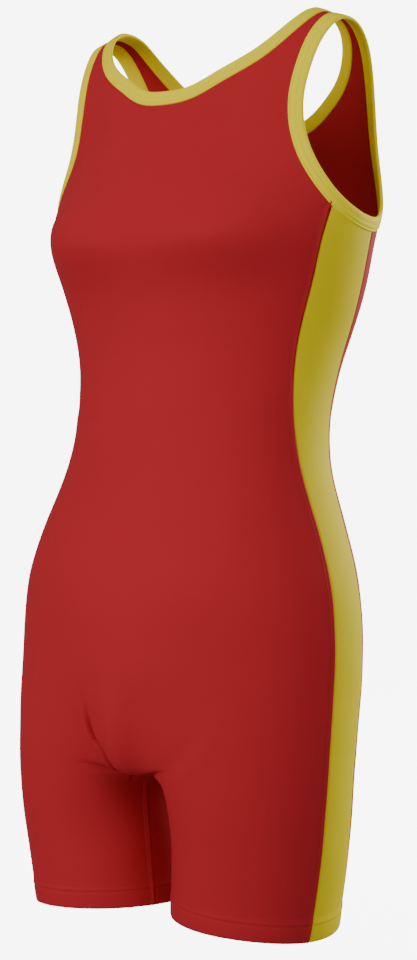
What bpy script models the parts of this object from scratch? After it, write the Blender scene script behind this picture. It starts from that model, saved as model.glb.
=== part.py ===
"""Wrestling singlet in its worn, hollow form.

The body is one smooth form. A place on it is (share, height): share runs round the body from centre
front (0) by the side (0.5) to centre back (1), and height runs up it. Each cut piece is a grid of such
places with a thin wall outside the form. Metres, +Z up, the front faces -Y, strap tops at z = 0.
"""

import math

import bmesh
import bpy
import numpy as np

# ---------------------------------------------------------------- driving sizes
CLOTH = 0.0015
HEM_CLOTH = 0.0026
SEAM_GAP = 0.0003
BINDING_WIDTH = 0.013
BINDING_CLOTH = 0.0028
HEM_DEPTH = 0.020

HEM_LEVEL = -0.796
HEM_RISE = 0.006
CROTCH_LEVEL = -0.668
SPLIT_LEVEL = -0.560
THIGH_LEVEL = -0.735
FORK_SPREAD = 0.15
# to either side the legs part from the body higher up, along the groin, by this much
GROIN_RISE = 0.012
GROIN_SPREAD = 0.16
SPRING_LEVEL = -0.170
SHOULDER_X = 0.112
SHOULDER_Y = 0.018
SHOULDER_SLOPE = math.radians(20.0)
CROTCH_POWER = 4.2
FRONT_ARCH_POWER = 2.0
BACK_ARCH_POWER = 2.5
INSEAM_TURN = math.radians(22.5)
OUTSEAM_EASE = 0.39
BUST_DEPTH = 0.025
BUST_LEVEL = -0.196
BUST_ABOVE = 0.045
BUST_BELOW = 0.036
BUST_ANGLE = math.radians(33.0)
BUST_SPREAD = math.radians(30.0)

ARCH_RISE = -SPRING_LEVEL
RIDGE = SPRING_LEVEL + ARCH_RISE * math.pi / 2

# Rings of the torso. front and back are depths from middle_y; a square above 0 fills that half of the
# ring out towards its corners, below 0 draws it in.
TORSO_COLUMNS = ("level", "half_width", "front", "back", "middle_y", "front_square", "back_square")
TORSO = (
    (0.030, 0.168, 0.076, 0.100, 0.006, -0.02, 0.06),
    (-0.060, 0.168, 0.080, 0.104, 0.006, -0.02, 0.06),
    (-0.120, 0.165, 0.086, 0.108, 0.006, -0.06, 0.05),
    (-0.170, 0.162, 0.096, 0.111, 0.006, -0.03, 0.04),
    (-0.205, 0.156, 0.103, 0.108, 0.005, 0.00, 0.03),
    (-0.250, 0.145, 0.102, 0.103, 0.005, 0.01, 0.03),
    (-0.300, 0.130, 0.096, 0.095, 0.002, 0.01, 0.02),
    (-0.350, 0.1225, 0.092, 0.092, -0.008, 0.01, 0.02),
    (-0.400, 0.1265, 0.094, 0.093, -0.016, 0.01, 0.02),
    (-0.450, 0.1440, 0.103, 0.102, -0.023, 0.01, 0.02),
    (-0.500, 0.1605, 0.111, 0.110, -0.028, 0.01, 0.02),
    (-0.560, 0.1660, 0.113, 0.113, -0.030, 0.01, 0.02),
    (-0.620, 0.1660, 0.109, 0.112, -0.035, 0.01, 0.02),
    (-0.680, 0.1640, 0.104, 0.106, -0.039, 0.00, 0.00),
    (-0.740, 0.1570, 0.098, 0.096, -0.041, 0.00, 0.00),
)

# Rings of the wearer's left leg.
LEG_COLUMNS = ("level", "middle_x", "middle_y", "half_width", "half_depth")
LEG = (
    (-0.560, 0.0862, -0.0370, 0.0773, 0.092),
    (-0.620, 0.0862, -0.0380, 0.0773, 0.089),
    (-0.680, 0.0862, -0.0385, 0.0758, 0.086),
    (-0.740, 0.0824, -0.0370, 0.0738, 0.080),
    (-0.810, 0.0754, -0.0355, 0.0698, 0.075),
)

# The side panel's two seams, as shares of the way round.
SIDE_COLUMNS = ("level", "front_seam", "back_seam")
SIDE = (
    (-0.150, 0.384, 0.565),
    (-0.210, 0.382, 0.563),
    (-0.290, 0.370, 0.582),
    (-0.360, 0.409, 0.602),
    (-0.450, 0.452, 0.602),
    (-0.560, 0.458, 0.600),
    (-0.680, 0.454, 0.600),
    (-0.810, 0.424, 0.610),
)

# Free edges as degrees round from centre front and height: the neck goes up the front and down the
# back, the armhole down its front and up its back, so that the cloth is always on the same hand.
NECK_FRONT = (
    (0.0, -0.0855),
    (6.0, -0.0815),
    (15.5, -0.0640),
    (26.3, -0.0350),
    (34.0, 0.0050),
    (37.3, 0.0400),
    (38.7, 0.0750),
    (39.0, RIDGE),
)
NECK_BACK = (
    (141.0, RIDGE),
    (141.0, 0.0600),
    (142.0, 0.0200),
    (145.5, -0.0150),
    (150.5, -0.0430),
    (159.0, -0.0700),
    (171.0, -0.0930),
    (180.0, -0.0990),
)
ARMHOLE = (
    (55.0, RIDGE),
    (54.0, 0.060),
    (51.3, 0.002),
    (49.6, -0.045),
    (49.2, -0.080),
    (53.0, -0.116),
    (65.0, -0.152),
    (76.0, -0.170),
    (90.0, -0.180),
    (104.0, -0.181),
    (116.5, -0.168),
    (125.0, -0.138),
    (128.8, -0.095),
    (128.3, -0.045),
    (126.0, 0.005),
    (125.0, 0.050),
    (125.0, RIDGE),
)

# The folded strip's section: how far in from the free edge, as a share of its width, and how far out from
# the form, as a share of its thickness.
BINDING_SECTION = (
    (1.00, -0.25),
    (1.00, 0.75),
    (0.22, 0.75),
    (0.06, 0.58),
    (0.00, 0.25),
    (0.06, -0.08),
    (0.22, -0.25),
)

# How many facets each stretch is cut into.
LEG_ROWS = 5
BODY_ROWS = 15
BODY_EASE = 1.4
CENTRE_ROWS = 3
YOKE_ROWS = 13
PANEL_COLUMNS = 9
SIDE_PANEL_COLUMNS = 4
ABOVE_CROTCH = (0.70, 0.45, 0.25, 0.10)
BELOW_CROTCH = (0.015, 0.008, 0.004, 0.0015)
SEAM_SHARE = 0.0005


# ---------------------------------------------------------------- the form
def batten(places, values):
    """A natural cubic spline through values at increasing places, as a function."""
    places = np.asarray(places, float)
    values = np.asarray(values, float)
    gap = np.diff(places)
    slope = np.diff(values, axis=0) / gap.reshape(-1, *[1] * (values.ndim - 1))
    count = len(places)
    system = np.zeros((count, count))
    system[0, 0] = system[-1, -1] = 1.0
    wanted = np.zeros_like(values)
    for i in range(1, count - 1):
        system[i, i - 1 : i + 2] = gap[i - 1], 2 * (gap[i - 1] + gap[i]), gap[i]
        wanted[i] = 6 * (slope[i] - slope[i - 1])
    bend = np.linalg.solve(system, wanted)

    def at(place):
        place = np.clip(np.asarray(place, float), places[0], places[-1])
        i = np.clip(np.searchsorted(places, place) - 1, 0, count - 2)
        lower = place - places[i]
        upper = places[i + 1] - place
        width = gap[i]
        if values.ndim > 1:
            lower, upper, width = lower[..., None], upper[..., None], width[..., None]
        curve = (bend[i] * upper**3 + bend[i + 1] * lower**3) / (6 * width)
        from_below = (values[i] / width - bend[i] * width / 6) * upper
        from_above = (values[i + 1] / width - bend[i + 1] * width / 6) * lower
        return curve + from_below + from_above

    return at


def read_table(columns, rows):
    """Each named column as a batten over the first, the level."""
    rows = np.array(sorted(rows), float)
    return {name: batten(rows[:, 0], rows[:, i]) for i, name in enumerate(columns) if i}


torso = read_table(TORSO_COLUMNS, TORSO)
leg = read_table(LEG_COLUMNS, LEG)
side = read_table(SIDE_COLUMNS, SIDE)


def torso_ring(share, level):
    """x and y on the torso's ring."""
    angle = math.pi * share
    in_front = np.cos(angle) > 0
    square = np.where(in_front, torso["front_square"](level), torso["back_square"](level))
    depth = np.where(in_front, torso["front"](level), torso["back"](level))
    y = -depth * ((1 + square) * np.cos(angle) - square * np.cos(3 * angle))
    left = np.exp(-(((angle - BUST_ANGLE) / BUST_SPREAD) ** 2))
    right = np.exp(-(((angle + BUST_ANGLE) / BUST_SPREAD) ** 2))
    spread = np.where(level > BUST_LEVEL, BUST_ABOVE, BUST_BELOW)
    y = y - BUST_DEPTH * np.exp(-(((level - BUST_LEVEL) / spread) ** 2)) * (left + right)
    return torso["half_width"](level) * np.sin(angle), torso["middle_y"](level) + y


def leg_ring(share, level):
    """x and y on the left leg's ring, whose inseam is both share 0 and share 1."""
    whole = 2 * math.pi * share
    angle = whole + OUTSEAM_EASE * np.sin(whole) + INSEAM_TURN * np.cos(whole / 2) ** 2
    x = leg["middle_x"](level) - leg["half_width"](level) * np.cos(angle)
    y = leg["middle_y"](level) - leg["half_depth"](level) * np.sin(angle)
    at_inseam = np.exp(-((np.sin(whole / 2) / 0.12) ** 2))
    at_crotch = np.exp(-np.clip(CROTCH_LEVEL - level, 0, None) / 0.006)
    return x * (1 - at_inseam * at_crotch), y


def form(share, height):
    """Points of the form, shaped (..., 3). Height is the level as far as the springing of the shoulder
    arch, then the way along the arch, to RIDGE on top of the shoulder."""
    share, height = np.broadcast_arrays(np.asarray(share, float), np.asarray(height, float))
    arch = np.clip((height - SPRING_LEVEL) / ARCH_RISE, 0, math.pi / 2)
    level = np.minimum(height, SPRING_LEVEL)
    x, y = torso_ring(share, level)
    top = (SHOULDER_X - x) * math.tan(SHOULDER_SLOPE)
    level = level + (top - SPRING_LEVEL) * np.sin(arch)
    x, y = torso_ring(share, level)
    power = np.where(share < 0.5, FRONT_ARCH_POWER, BACK_ARCH_POWER)
    y = SHOULDER_Y + (y - SHOULDER_Y) * (1 - np.sin(arch) ** power) ** (1 / power)
    parting = CROTCH_LEVEL + GROIN_RISE * (1 - np.exp(-((np.sin(math.pi * share) / GROIN_SPREAD) ** 2)))
    split = np.clip((SPLIT_LEVEL - level) / (SPLIT_LEVEL - parting), 0, 1)
    fork = 1 - (1 - split**CROTCH_POWER) ** (1 / CROTCH_POWER)
    eased = np.clip((SPLIT_LEVEL - level) / (SPLIT_LEVEL - THIGH_LEVEL), 0, 1)
    eased = eased**2 * (3 - 2 * eased)
    between_legs = np.exp(-((np.sin(math.pi * share) / FORK_SPREAD) ** 2))
    legward = eased + between_legs * (fork - eased)
    leg_x, leg_y = leg_ring(share, level)
    return np.stack([x + legward * (leg_x - x), y + legward * (leg_y - y), level], axis=-1)


def slopes(places):
    """The form's change per share and per height, and its outward normal, at places shaped (..., 2)."""
    share, height = places[..., 0], places[..., 1]
    step = 1e-4
    inner = np.clip(share, step, 1 - step)
    lower = np.minimum(height, RIDGE - 2 * step)
    by_share = (form(inner + step, lower) - form(inner - step, lower)) / (2 * step)
    by_height = (form(inner, lower + step) - form(inner, lower - step)) / (2 * step)
    normal = np.cross(by_share, by_height)
    return by_share, by_height, normal / np.linalg.norm(normal, axis=-1, keepdims=True)


# ---------------------------------------------------------------- edges
def edge_line(table):
    """A free edge as a function of the way along it, 0 to 1, giving places."""
    places = np.array(table, float) / (180.0, 1.0)
    along = np.hypot(np.diff(places[:, 0]) * 0.35, np.diff(places[:, 1]))
    along = np.concatenate([[0.0], np.cumsum(along)])
    return batten(along / along[-1], places)


def inset(edge, ways, distance):
    """Places that lie a distance in from an edge, square to it on the cloth."""
    step = 1e-3
    places = edge(ways)
    by_share, by_height, normal = slopes(places)
    before, after = edge(np.clip(ways - step, 0, 1)), edge(np.clip(ways + step, 0, 1))
    change = after - before
    run = by_share * change[..., :1] + by_height * change[..., 1:]
    aside = np.cross(run, normal)
    aside = aside / np.linalg.norm(aside, axis=-1, keepdims=True)
    moved = []
    for way in range(len(places)):
        basis = np.stack([by_share[way], by_height[way]], axis=-1)
        moved.append(np.linalg.lstsq(basis, aside[way] * distance, rcond=None)[0])
    return places + np.array(moved)


neck_front = edge_line(NECK_FRONT)
neck_back = edge_line(NECK_BACK)
armhole = edge_line(ARMHOLE)


def seam_way(seam, low, high):
    """How far along the armhole the named side seam runs into it."""
    ways = np.linspace(low, high, 200)
    places = inset(armhole, ways, BINDING_WIDTH + SEAM_GAP)
    return float(np.interp(0.0, places[:, 0] - side[seam](places[:, 1]), ways))


SEAM_WAYS = {"front_seam": seam_way("front_seam", 0.3, 0.6), "back_seam": seam_way("back_seam", 0.45, 0.75)}
SEAM_STEP = 0.0004


def cut(start, end, facets):
    """Even ways along an edge."""
    return np.linspace(start, end, facets + 1)


ARM_FRONT = cut(0.0, SEAM_WAYS["front_seam"], YOKE_ROWS)
ARM_SIDE = cut(SEAM_WAYS["front_seam"], SEAM_WAYS["back_seam"], SIDE_PANEL_COLUMNS)
ARM_BACK = cut(SEAM_WAYS["back_seam"], 1.0, YOKE_ROWS)
NECK_WAYS = cut(0.0, 1.0, YOKE_ROWS - CENTRE_ROWS)


def cloth_edge(edge, ways):
    """Where the cut pieces stop, just short of the binding."""
    return inset(edge, ways, BINDING_WIDTH + SEAM_GAP)


# ---------------------------------------------------------------- grids of places
def levels(top):
    """Levels of the rows from the hem up to top."""
    hem = [HEM_LEVEL, HEM_LEVEL + HEM_DEPTH - 0.0005]
    thigh = np.linspace(HEM_LEVEL + HEM_DEPTH, CROTCH_LEVEL - BELOW_CROTCH[0], LEG_ROWS + 1)
    near_crotch = [CROTCH_LEVEL - drop for drop in BELOW_CROTCH[1:]] + [CROTCH_LEVEL]
    fork = []
    for legward in ABOVE_CROTCH:
        split = (1 - (1 - legward) ** CROTCH_POWER) ** (1 / CROTCH_POWER)
        fork.append(SPLIT_LEVEL - split * (SPLIT_LEVEL - CROTCH_LEVEL))
    body = top - (top - fork[-1]) * np.linspace(1, 0, BODY_ROWS + 1)[1:] ** BODY_EASE
    return np.concatenate([hem, thigh, near_crotch, fork, body])


def hem_slope(share, level):
    """The hem is a little higher at the inseam than at the side, and the rows above it follow."""
    legward = np.clip((CROTCH_LEVEL - level) / (CROTCH_LEVEL - HEM_LEVEL), 0, 1)
    return level + HEM_RISE * legward * np.cos(2 * math.pi * share)


def panel_places(centre_share, seam, side_of_seam, arm_edge, neck_edge):
    """Places of one half of the front or the back, rows from the hem up, columns from the centre out."""
    rows = levels(arm_edge[0, 1])[:-1]
    outer_share = side[seam](rows) + side_of_seam * SEAM_SHARE
    below = rows <= CROTCH_LEVEL + 1e-9
    centre = np.where(below, centre_share - side_of_seam * SEAM_SHARE / 2, centre_share)
    centre_levels = np.linspace(rows[-1], neck_edge[0, 1], CENTRE_ROWS + 2)[1:]
    inner = np.concatenate(
        [
            np.stack([centre, rows], axis=-1),
            np.stack([np.full(CENTRE_ROWS + 1, centre_share), centre_levels], axis=-1),
            neck_edge[1:],
        ]
    )
    outer = np.concatenate([np.stack([outer_share, rows], axis=-1), arm_edge])
    across = np.linspace(0, 1, PANEL_COLUMNS + 1)[:, None]
    places = inner[:, None] * (1 - across) + outer[:, None] * across
    places[..., 1] = hem_slope(places[..., 0], places[..., 1])
    return places


def front_places():
    ways = ARM_FRONT[::-1].copy()
    ways[0] -= SEAM_STEP
    neck_edge = cloth_edge(neck_front, NECK_WAYS)
    neck_edge[0, 0] = 0.0
    arm_edge = cloth_edge(armhole, ways)
    neck_edge[-1, 1] = arm_edge[-1, 1] = RIDGE - SEAM_GAP / 2
    return panel_places(0.0, "front_seam", -1, arm_edge, neck_edge)


def back_places():
    ways = ARM_BACK.copy()
    ways[0] += SEAM_STEP
    neck_edge = cloth_edge(neck_back, NECK_WAYS)[::-1]
    neck_edge[0, 0] = 1.0
    arm_edge = cloth_edge(armhole, ways)
    neck_edge[-1, 1] = arm_edge[-1, 1] = RIDGE - SEAM_GAP / 2
    return panel_places(1.0, "back_seam", 1, arm_edge, neck_edge)[:, ::-1]


def side_places():
    """Places of the left side panel, columns from the front seam to the back seam."""
    ways = ARM_SIDE.copy()
    ways[0] += SEAM_STEP
    ways[-1] -= SEAM_STEP
    top = cloth_edge(armhole, ways)
    front = levels(cloth_edge(armhole, ARM_FRONT[-1:])[0, 1])
    back = levels(cloth_edge(armhole, ARM_BACK[:1])[0, 1])
    across = np.linspace(0, 1, SIDE_PANEL_COLUMNS + 1)
    shares = np.stack(
        [side["front_seam"](front) + SEAM_SHARE, side["back_seam"](back) - SEAM_SHARE], axis=-1
    )
    share = shares[:, :1] * (1 - across) + shares[:, 1:] * across
    height = front[:, None] * (1 - across) + back[:, None] * across
    rise = np.clip((height - SPLIT_LEVEL) / (height[-1] - SPLIT_LEVEL), 0, 1) ** 4
    places = np.stack([share, height], axis=-1) + rise[..., None] * (top - np.stack([share[-1], height[-1]], axis=-1))
    places[..., 1] = hem_slope(places[..., 0], places[..., 1])
    return places


# ---------------------------------------------------------------- solids
def material(name, colour):
    """Smooth stretch knit, all of one colour."""
    cloth = bpy.data.materials.new(name)
    cloth.use_nodes = True
    shader = cloth.node_tree.nodes["Principled BSDF"]
    shader.inputs["Base Color"].default_value = (*colour, 1.0)
    shader.inputs["Roughness"].default_value = 0.55
    return cloth


def add_object(name, collection, points, faces, cloth):
    mesh = bpy.data.meshes.new(name)
    mesh.from_pydata([tuple(point) for point in points], [], faces)
    mesh.materials.append(cloth)
    thing = bpy.data.objects.new(name, mesh)
    collection.objects.link(thing)
    return thing


def grid_faces(rows, columns, turned=False):
    faces = []
    for row in range(rows - 1):
        for column in range(columns - 1):
            corner = row * columns + column
            face = (corner, corner + 1, corner + columns + 1, corner + columns)
            faces.append(face[::-1] if turned else face)
    return faces


def add_panel(name, collection, places, cloth, mirrored=False, turned=False):
    """A panel's open grid made into cloth, doubled where its hem is turned up."""
    rows, columns = places.shape[:2]
    points = form(places[..., 0], places[..., 1])
    if turned:
        points = points * (-1, 1, 1)
    thing = add_object(name, collection, points.reshape(-1, 3), grid_faces(rows, columns, turned), cloth)
    hem = thing.vertex_groups.new(name="hem")
    hem.add(list(range(2 * columns)), 1.0, "REPLACE")
    if mirrored:
        mirror = thing.modifiers.new("halves", "MIRROR")
        mirror.merge_threshold = 0.0001
    wall = thing.modifiers.new("cloth", "SOLIDIFY")
    wall.thickness = HEM_CLOTH
    wall.offset = 1.0
    wall.vertex_group = "hem"
    wall.thickness_vertex_group = CLOTH / HEM_CLOTH
    return thing


def binding_stations(edge, ways):
    """Free-edge points, inner-edge points and normals along an edge."""
    free = edge(ways)
    seam = inset(edge, ways, BINDING_WIDTH)
    return form(free[:, 0], free[:, 1]), form(seam[:, 0], seam[:, 1]), slopes(free)[2], slopes(seam)[2]


def over_shoulder(rising, falling):
    """Joins the stations up to the ridge and those down from it, sharing the one on the ridge."""
    joined = []
    for up, down in zip(rising, falling):
        joined.append(np.concatenate([up[:-1], (up[-1:] + down[:1]) / 2, down[1:]]))
    return joined


def add_binding(name, collection, stations, cloth, turned=False):
    """The folded strip, swept once round a closed line of stations."""
    free, seam, free_normal, seam_normal = stations
    points = []
    for inward, outward in BINDING_SECTION:
        normal = free_normal * (1 - inward) + seam_normal * inward
        normal = normal / np.linalg.norm(normal, axis=-1, keepdims=True)
        points.append(free * (1 - inward) + seam * inward + normal * outward * BINDING_CLOTH)
    points = np.stack(points, axis=1)
    if turned:
        points = points * (-1, 1, 1)
    count, ring = points.shape[:2]
    faces = []
    for station in range(count):
        for corner in range(ring):
            here, after = station * ring, (station + 1) % count * ring
            up = (corner + 1) % ring
            face = (here + corner, after + corner, after + up, here + up)
            faces.append(face[::-1] if turned else face)
    return add_object(name, collection, points.reshape(-1, 3), faces, cloth)


def neck_stations():
    """The whole neck: up the left front, down the left back and so round by the right."""
    left = over_shoulder(binding_stations(neck_front, NECK_WAYS), binding_stations(neck_back, NECK_WAYS))
    whole = []
    for half in left:
        half[[0, -1], 0] = 0.0
        whole.append(np.concatenate([half, half[-2:0:-1] * (-1, 1, 1)]))
    return whole


def armhole_stations():
    """The whole left armhole, from the shoulder down the front and up the back to the shoulder again."""
    ways = np.concatenate([ARM_FRONT, ARM_SIDE[1:], ARM_BACK[1:]])
    stations = []
    for line in binding_stations(armhole, ways):
        ridge = (line[:1] + line[-1:]) / 2
        stations.append(np.concatenate([ridge, line[1:-1]]))
    return stations


def main():
    for thing in list(bpy.data.objects):
        bpy.data.objects.remove(thing)
    collection = bpy.data.collections.new("wrestling_singlet")
    bpy.context.scene.collection.children.link(collection)
    red = material("red_stretch_knit", (0.40, 0.022, 0.026))
    yellow = material("yellow_stretch_knit", (0.60, 0.50, 0.04))
    bright = material("yellow_binding_knit", (0.85, 0.74, 0.05))
    add_panel("front_panel", collection, front_places(), red, mirrored=True)
    add_panel("back_panel", collection, back_places(), red, mirrored=True)
    add_panel("side_panel_left", collection, side_places(), yellow)
    add_panel("side_panel_right", collection, side_places(), yellow, turned=True)
    add_binding("neck_binding", collection, neck_stations(), bright)
    add_binding("armhole_binding_left", collection, armhole_stations(), bright)
    add_binding("armhole_binding_right", collection, armhole_stations(), bright, turned=True)


if __name__ == "__main__":
    main()
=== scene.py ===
"""Wrestling singlet: smooth stretch knit on the worn form, with its seams, stitches and soft creases.

A place on the body is (share, height): share runs round it from centre front (0) by the side (0.5) to
centre back (1), and height runs up it. Every piece is a grid of such places, moved out along the form's
normal. Metres, +Z up, the front faces -Y, strap tops at z = 0.
"""

import math

import bmesh
import bpy
import numpy as np
from bpy.props import FloatProperty, IntProperty, PointerProperty
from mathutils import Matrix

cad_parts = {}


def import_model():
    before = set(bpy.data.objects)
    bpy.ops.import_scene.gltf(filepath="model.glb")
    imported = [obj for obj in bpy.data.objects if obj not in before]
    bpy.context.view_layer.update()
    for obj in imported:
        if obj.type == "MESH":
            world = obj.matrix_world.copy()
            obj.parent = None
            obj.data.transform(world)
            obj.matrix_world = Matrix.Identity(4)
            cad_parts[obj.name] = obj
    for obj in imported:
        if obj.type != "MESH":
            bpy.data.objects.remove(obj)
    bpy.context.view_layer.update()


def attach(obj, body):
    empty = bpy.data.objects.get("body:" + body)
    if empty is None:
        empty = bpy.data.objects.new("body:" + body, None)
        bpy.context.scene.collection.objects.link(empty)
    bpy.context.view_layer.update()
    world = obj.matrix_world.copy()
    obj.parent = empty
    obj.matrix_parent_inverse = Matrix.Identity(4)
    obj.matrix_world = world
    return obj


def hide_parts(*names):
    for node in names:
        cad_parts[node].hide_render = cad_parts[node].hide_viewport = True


bl_info = {
    "name": "Wrestling Singlet",
    "version": (1, 0, 0),
    "blender": (4, 5, 0),
    "location": "View3D > Sidebar > Singlet",
    "description": "Builds a worn, hollow wrestling singlet in stretch knit, piece by piece",
    "category": "Object",
}

# ---------------------------------------------------------------- sizes shared by every piece
HEM_LEVEL = -0.796
HEM_RISE = 0.006
HEM_DEPTH = 0.020
CROTCH_LEVEL = -0.668
SPLIT_LEVEL = -0.560
THIGH_LEVEL = -0.735
FORK_SPREAD = 0.15
# to either side the legs part from the body higher up, along the groin, by this much
GROIN_RISE = 0.012
GROIN_SPREAD = 0.16
SPRING_LEVEL = -0.170
SHOULDER_X = 0.112
SHOULDER_Y = 0.018
SHOULDER_SLOPE = math.radians(20.0)
CROTCH_POWER = 4.2
FRONT_ARCH_POWER = 2.0
BACK_ARCH_POWER = 2.5
INSEAM_TURN = math.radians(22.5)
OUTSEAM_EASE = 0.39
BUST_DEPTH = 0.025
BUST_LEVEL = -0.196
BUST_ABOVE = 0.045
BUST_BELOW = 0.036
BUST_ANGLE = math.radians(33.0)
BUST_SPREAD = math.radians(30.0)
BINDING_WIDTH = 0.013
HEM_STITCHES = (0.0148, 0.0190)

# Where rows and columns crowd, so that the hem and the seams are drawn: heights over the hem, and shares of
# a panel's half-width in from either edge.
HEM_ROWS = (
    *(0.0, 0.0007, 0.0015, 0.003, 0.006, 0.010),
    *(0.0134, 0.0142, 0.0148, 0.0154, 0.0162),
    *(0.0176, 0.0184, 0.0190, 0.0196, 0.0204, 0.0222),
)
SEAM_COLUMNS = (0.0, 0.0028, 0.0056, 0.0084, 0.0115, 0.015, 0.0195, 0.025, 0.033)
CROTCH_ROWS = 44

ARCH_RISE = -SPRING_LEVEL
RIDGE = SPRING_LEVEL + ARCH_RISE * math.pi / 2

# Rings of the torso. front and back are depths from middle_y; a square above 0 fills that half of the
# ring out towards its corners, below 0 draws it in.
TORSO_COLUMNS = ("level", "half_width", "front", "back", "middle_y", "front_square", "back_square")
TORSO = (
    (0.030, 0.168, 0.076, 0.100, 0.006, -0.02, 0.06),
    (-0.060, 0.168, 0.080, 0.104, 0.006, -0.02, 0.06),
    (-0.120, 0.165, 0.086, 0.108, 0.006, -0.06, 0.05),
    (-0.170, 0.162, 0.096, 0.111, 0.006, -0.03, 0.04),
    (-0.205, 0.156, 0.103, 0.108, 0.005, 0.00, 0.03),
    (-0.250, 0.145, 0.102, 0.103, 0.005, 0.01, 0.03),
    (-0.300, 0.130, 0.096, 0.095, 0.002, 0.01, 0.02),
    (-0.350, 0.1225, 0.092, 0.092, -0.008, 0.01, 0.02),
    (-0.400, 0.1265, 0.094, 0.093, -0.016, 0.01, 0.02),
    (-0.450, 0.1440, 0.103, 0.102, -0.023, 0.01, 0.02),
    (-0.500, 0.1605, 0.111, 0.110, -0.028, 0.01, 0.02),
    (-0.560, 0.1660, 0.113, 0.113, -0.030, 0.01, 0.02),
    (-0.620, 0.1660, 0.109, 0.112, -0.035, 0.01, 0.02),
    (-0.680, 0.1640, 0.104, 0.106, -0.039, 0.00, 0.00),
    (-0.740, 0.1570, 0.098, 0.096, -0.041, 0.00, 0.00),
)

# Rings of the wearer's left leg.
LEG_COLUMNS = ("level", "middle_x", "middle_y", "half_width", "half_depth")
LEG = (
    (-0.560, 0.0862, -0.0370, 0.0773, 0.092),
    (-0.620, 0.0862, -0.0380, 0.0773, 0.089),
    (-0.680, 0.0862, -0.0385, 0.0758, 0.086),
    (-0.740, 0.0824, -0.0370, 0.0738, 0.080),
    (-0.810, 0.0754, -0.0355, 0.0698, 0.075),
)

# The side panel's two seams, as shares of the way round.
SIDE_COLUMNS = ("level", "front_seam", "back_seam")
SIDE = (
    (-0.150, 0.384, 0.565),
    (-0.210, 0.382, 0.563),
    (-0.290, 0.370, 0.582),
    (-0.360, 0.409, 0.602),
    (-0.450, 0.452, 0.602),
    (-0.560, 0.458, 0.600),
    (-0.680, 0.454, 0.600),
    (-0.810, 0.424, 0.610),
)

# Free edges as degrees round from centre front and height: the neck goes up the front and down the
# back, the armhole down its front and up its back, so that the cloth is always on the same hand.
NECK_FRONT = (
    (0.0, -0.0855),
    (6.0, -0.0815),
    (15.5, -0.0640),
    (26.3, -0.0350),
    (34.0, 0.0050),
    (37.3, 0.0400),
    (38.7, 0.0750),
    (39.0, RIDGE),
)
NECK_BACK = (
    (141.0, RIDGE),
    (141.0, 0.0600),
    (142.0, 0.0200),
    (145.5, -0.0150),
    (150.5, -0.0430),
    (159.0, -0.0700),
    (171.0, -0.0930),
    (180.0, -0.0990),
)
ARMHOLE = (
    (55.0, RIDGE),
    (54.0, 0.060),
    (51.3, 0.002),
    (49.6, -0.045),
    (49.2, -0.080),
    (53.0, -0.116),
    (65.0, -0.152),
    (76.0, -0.170),
    (90.0, -0.180),
    (104.0, -0.181),
    (116.5, -0.168),
    (125.0, -0.138),
    (128.8, -0.095),
    (128.3, -0.045),
    (126.0, 0.005),
    (125.0, 0.050),
    (125.0, RIDGE),
)

# The deepest crease, from the front of the hip down the groin to the crotch.
GROIN_LINE = (
    (12.8, -0.588),
    (11.2, -0.606),
    (10.4, -0.618),
    (9.4, -0.6325),
    (7.6, -0.6415),
    (6.1, -0.6500),
    (5.2, -0.6600),
    (4.6, -0.6700),
    (4.2, -0.6780),
)

# Soft creases: which half (-1 the wearer's right, 1 the left), depth of the trough, its half-width, height
# of the ridge beside it, the share of its run over which it fades out, and the places it passes as (degrees
# round from centre front, height). Each deepens from its first place on.
CREASE_COLUMNS = ("half", "depth", "half_width", "ridge", "tail", "line")
CREASES = (
    (-1, 0.0062, 0.0020, 0.0015, 0.30, GROIN_LINE),
    (1, 0.0010, 0.0080, 0.0005, 0.25, ((34.0, -0.585), (27.0, -0.622), (19.0, -0.648), (10.0, -0.660))),
    (-1, 0.0010, 0.0090, 0.0006, 0.35, ((84.0, -0.335), (70.0, -0.345), (52.0, -0.349))),
    (1, 0.0005, 0.0110, 0.0003, 0.35, ((80.0, -0.352), (64.0, -0.361), (48.0, -0.362))),
    (-1, 0.0012, 0.0080, 0.0006, 0.35, ((112.0, -0.372), (135.0, -0.384), (164.0, -0.380))),
    (1, 0.0013, 0.0085, 0.0007, 0.35, ((114.0, -0.362), (140.0, -0.371), (172.0, -0.374))),
    (1, 0.0010, 0.0090, 0.0005, 0.35, ((120.0, -0.398), (146.0, -0.407), (166.0, -0.402))),
    (-1, 0.0022, 0.0080, 0.0010, 0.15, ((132.0, -0.655), (150.0, -0.672), (167.0, -0.672))),
    (1, 0.0020, 0.0085, 0.0010, 0.15, ((134.0, -0.652), (151.0, -0.670), (168.0, -0.671))),
    (1, 0.0006, 0.0080, 0.0003, 0.35, ((58.0, -0.188), (50.0, -0.180), (41.0, -0.168))),
    (-1, 0.0009, 0.0070, 0.0004, 0.35, ((60.0, -0.186), (51.0, -0.177), (42.0, -0.166))),
)


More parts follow.
